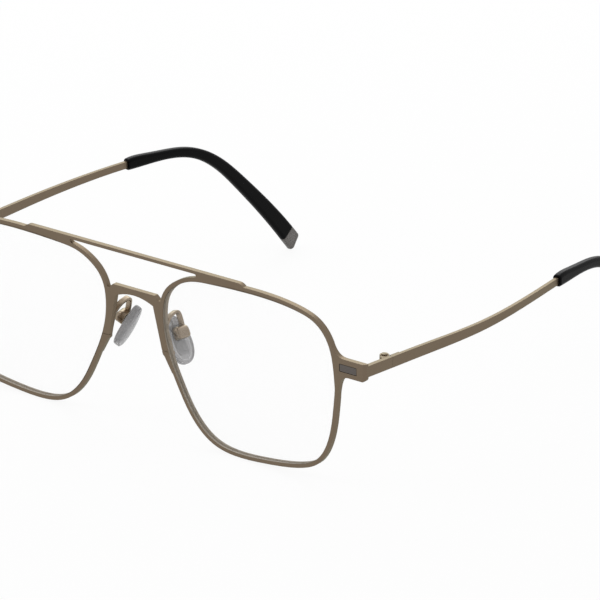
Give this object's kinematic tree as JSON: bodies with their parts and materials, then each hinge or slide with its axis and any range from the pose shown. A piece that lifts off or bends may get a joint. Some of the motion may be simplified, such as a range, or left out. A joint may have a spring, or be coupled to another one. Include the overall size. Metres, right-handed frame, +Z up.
{
  "type": "eyeglass frame",
  "caption": "Metal eyeglass frame with a straight brow bar over an arched bridge, nose pads on bent arms and folding temples with plastic tips.",
  "frame": {"origin": "centre of the footprint, on the surface that the open frame stands on", "axes": "+X towards the wearer's left, +Y back along the temples, +Z up"},
  "size_m": [0.1522, 0.1458, 0.0476],
  "materials": {
    "satin_metal": "satin pale gold plating on steel",
    "inlay_metal": "brushed grey metal strip",
    "screw_steel": "plated steel",
    "lens": "clear polished demonstration lens",
    "pad_silicone": "clear moulded silicone",
    "pad_core": "clear moulded plastic core",
    "tip_acetate": "polished black acetate",
    "tip_clear": "polished smoke-grey acetate"
  },
  "bodies": {
    "front": {"front_frame": "satin_metal", "left_lens": "lens", "left_rim_screw": "screw_steel", "left_pad_arm": "satin_metal", "left_pad_box": "satin_metal", "left_pad_screw": "screw_steel", "left_endpiece_inlay": "inlay_metal", "left_hinge_front": "satin_metal", "left_hinge_screw": "screw_steel", "right_lens": "lens", "right_rim_screw": "screw_steel", "right_pad_arm": "satin_metal", "right_pad_box": "satin_metal", "right_pad_screw": "screw_steel", "right_endpiece_inlay": "inlay_metal", "right_hinge_front": "satin_metal", "right_hinge_screw": "screw_steel"},
    "left_temple_arm": {"left_temple": "satin_metal", "left_temple_tip": "tip_acetate", "left_tip_end": "tip_clear", "left_hinge_temple": "satin_metal"},
    "left_pad": {"left_nose_pad": "pad_silicone", "left_pad_insert": "pad_core"},
    "right_temple_arm": {"right_temple": "satin_metal", "right_temple_tip": "tip_acetate", "right_tip_end": "tip_clear", "right_hinge_temple": "satin_metal"},
    "right_pad": {"right_nose_pad": "pad_silicone", "right_pad_insert": "pad_core"}
  },
  "joints": [
    {"name": "left_temple_fold", "type": "hinge", "parent": "front", "child": "left_temple_arm", "pos_m": [0.0722, -0.06066, 0.033], "axis": [0, 0, 1], "range_deg": [0, 86]},
    {"name": "right_temple_fold", "type": "hinge", "parent": "front", "child": "right_temple_arm", "pos_m": [-0.0722, -0.06066, 0.033], "axis": [0, 0, -1], "range_deg": [0, 83]},
    {"name": "left_pad_rock", "type": "hinge", "parent": "front", "child": "left_pad", "pos_m": [0.00963, -0.06434, 0.02661], "axis": [0.2164, 0.9736, 0.0724], "range_deg": [-7, 7]},
    {"name": "right_pad_rock", "type": "hinge", "parent": "front", "child": "right_pad", "pos_m": [-0.00963, -0.06434, 0.02661], "axis": [-0.2164, 0.9736, 0.0724], "range_deg": [-7, 7]}
  ]
}
